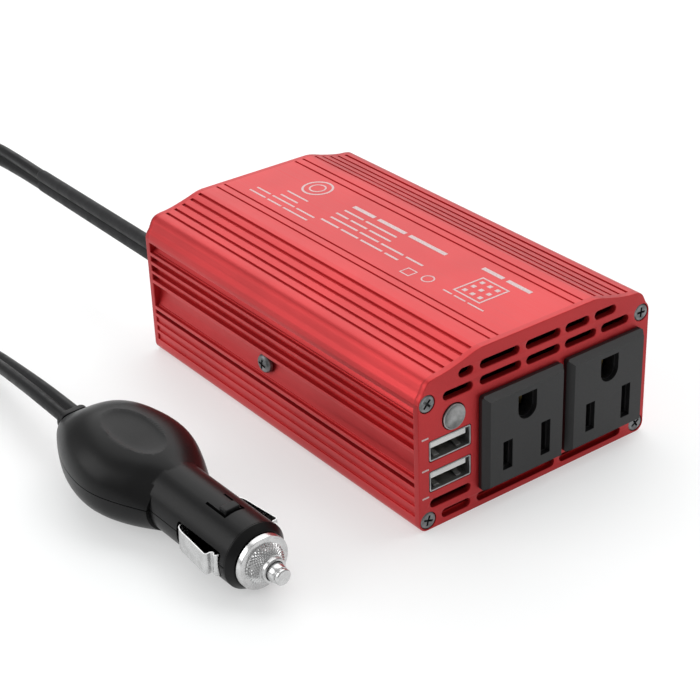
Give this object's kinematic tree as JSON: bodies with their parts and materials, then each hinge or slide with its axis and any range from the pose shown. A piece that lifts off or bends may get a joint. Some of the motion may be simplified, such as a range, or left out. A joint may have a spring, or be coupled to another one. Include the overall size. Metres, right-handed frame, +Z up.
{
  "type": "power inverter",
  "caption": "Ribbed aluminium power inverter box with grounded AC outlets, USB ports, push button and a sleeved DC lead ending in a vehicle lighter plug.",
  "frame": {"origin": "middle of the case's underside, without the lead and plug; z = 0 is the surface that the case and the plug lie on", "axes": "+Z up, the outlets face -Y, the lead leaves the rear panel towards +Y, +X to the right seen from the outlets"},
  "size_m": [0.1396, 0.3906, 0.046],
  "materials": {
    "case_red": "satin anodised",
    "outlet_black": "fine matt",
    "plug_black": "satin moulded",
    "inner_black": "matt",
    "lead_rubber": "satin",
    "screw_steel": "dark plated",
    "contact_nickel": "bright nickel",
    "button_silver": "silver satin",
    "tongue_white": "matt",
    "clip_brass": "bright",
    "bar_aluminium": "extruded",
    "board_green": "satin",
    "core_ferrite": "matt",
    "winding_tape": "satin tape",
    "fuse_glass": "clear"
  },
  "bodies": {
    "case": {"upper_shell": "case_red", "lower_shell": "case_red", "front_panel": "case_red", "rear_panel": "case_red", "front_screw_1": "screw_steel", "front_screw_2": "screw_steel", "front_screw_3": "screw_steel", "front_screw_4": "screw_steel", "rear_screw_1": "screw_steel", "rear_screw_2": "screw_steel", "rear_screw_3": "screw_steel", "rear_screw_4": "screw_steel", "side_screw_left": "screw_steel", "side_screw_right": "screw_steel", "outlet_1": "outlet_black", "outlet_1_hot": "clip_brass", "outlet_1_neutral": "clip_brass", "outlet_1_ground": "clip_brass", "outlet_2": "outlet_black", "outlet_2_hot": "clip_brass", "outlet_2_neutral": "clip_brass", "outlet_2_ground": "clip_brass", "usb_port_1": "contact_nickel", "usb_tongue_1": "tongue_white", "usb_port_2": "contact_nickel", "usb_tongue_2": "tongue_white", "button_switch": "inner_black", "port_board": "board_green", "main_board": "board_green", "heat_bar_left": "bar_aluminium", "transistor_left_1": "inner_black", "transistor_left_2": "inner_black", "heat_bar_right": "bar_aluminium", "transistor_right_1": "inner_black", "transistor_right_2": "inner_black", "transformer_core": "core_ferrite", "transformer_winding": "winding_tape", "capacitor_1": "inner_black", "capacitor_2": "inner_black", "capacitor_3": "inner_black", "fan_frame": "inner_black", "cord_gland": "lead_rubber", "cord_sleeve": "lead_rubber", "cord": "lead_rubber", "plug_upper": "plug_black", "plug_lower": "plug_black", "plug_nose": "plug_black", "plug_fuse": "fuse_glass", "plug_grommet": "lead_rubber"},
    "button": {"power_button": "button_silver"},
    "fan": {"fan_rotor": "inner_black"},
    "tip_pin": {"plug_pin": "contact_nickel", "plug_spring": "contact_nickel"},
    "tip_cap": {"plug_cap": "contact_nickel"},
    "contact_left": {"plug_contact_left": "contact_nickel"},
    "contact_right": {"plug_contact_right": "contact_nickel"}
  },
  "joints": [
    {"name": "button_press", "type": "slide", "parent": "case", "child": "button", "axis": [0, 1, 0], "range_m": [0, 0.0012], "stiffness_N_per_m": 400, "springref_m": -0.0005},
    {"name": "fan_spin", "type": "hinge", "parent": "case", "child": "fan", "pos_m": [0.0023, 0.05605, 0.0226], "axis": [0, 1, 0], "continuous": true},
    {"name": "tip_pin_slide", "type": "slide", "parent": "case", "child": "tip_pin", "axis": [-0.0561, 0.9975, 0.0434], "range_m": [0, 0.0025], "stiffness_N_per_m": 800, "springref_m": -0.001},
    {"name": "tip_cap_turn", "type": "hinge", "parent": "case", "child": "tip_cap", "pos_m": [-0.08175, -0.05522, 0.0088], "axis": [-0.0561, 0.9975, 0.0434], "continuous": true},
    {"name": "contact_left_flex", "type": "hinge", "parent": "case", "child": "contact_left", "pos_m": [-0.08894, -0.03411, 0.00973], "axis": [0.0024, -0.0433, 0.9991], "range_deg": [0, 4], "stiffness_Nm_per_rad": 0.6, "springref_deg": -1.15},
    {"name": "contact_right_flex", "type": "hinge", "parent": "case", "child": "contact_right", "pos_m": [-0.07696, -0.03344, 0.00973], "axis": [0.0024, -0.0433, 0.9991], "range_deg": [-4, 0], "stiffness_Nm_per_rad": 0.6, "springref_deg": 1.15}
  ]
}
